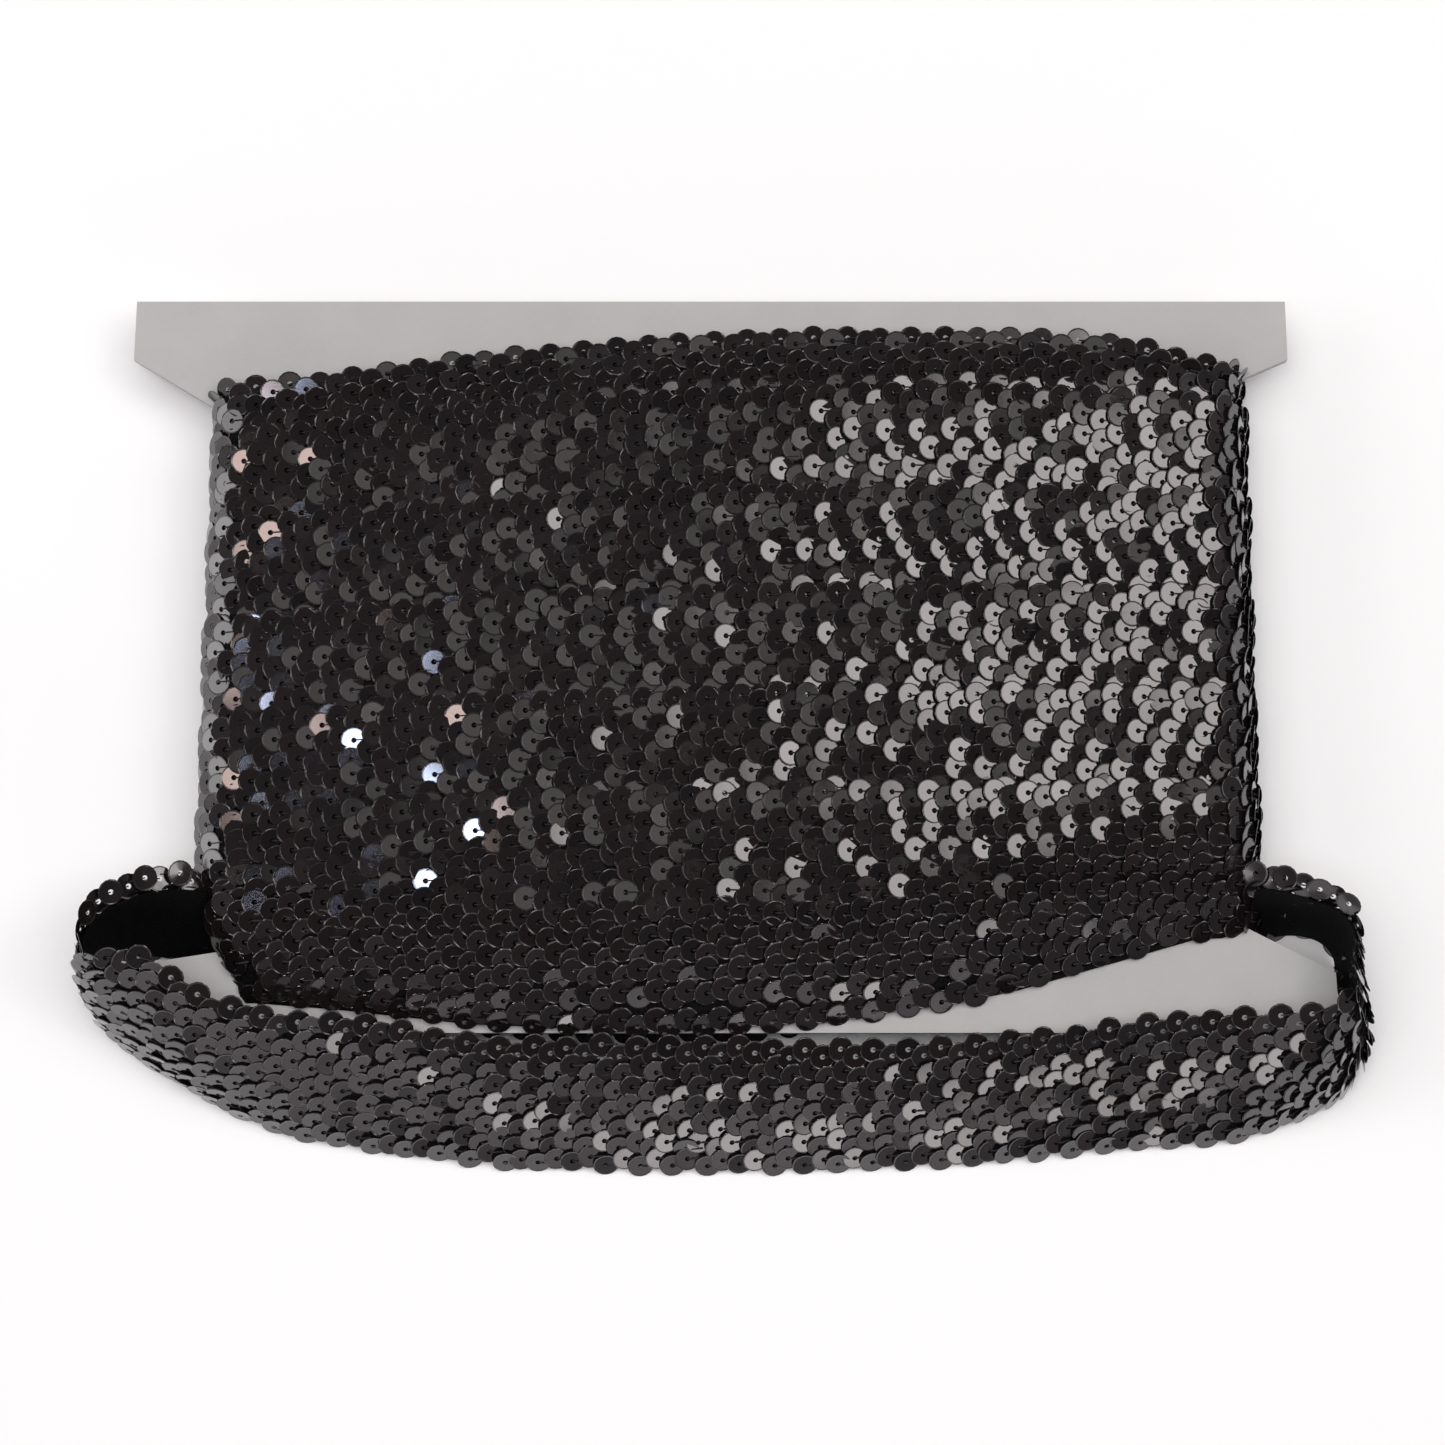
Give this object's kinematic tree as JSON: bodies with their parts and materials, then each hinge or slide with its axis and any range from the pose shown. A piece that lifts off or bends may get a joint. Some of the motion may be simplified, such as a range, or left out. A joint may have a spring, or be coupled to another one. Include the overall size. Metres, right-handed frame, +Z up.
{
  "type": "sequin trim wound on a card",
  "caption": "Stretch sequin trim wound in layers round a flat notched card that lies on its back, with the last turn slack round the card's foot.",
  "frame": {"origin": "middle of the part's outline, on the surface that it lies on", "axes": "+X along the card's width, to the right as the wound face is seen; +Y towards the card's upper edge; +Z up, out of the wound face"},
  "size_m": [0.3088, 0.2128, 0.0308],
  "materials": {
    "card_board": "matt grey board",
    "black_sequins": "glossy black sequins sewn on black stretch mesh"
  },
  "bodies": {
    "root": {"winding_card": "card_board", "wound_trim": "black_sequins", "loose_turn": "black_sequins"}
  },
  "joints": []
}
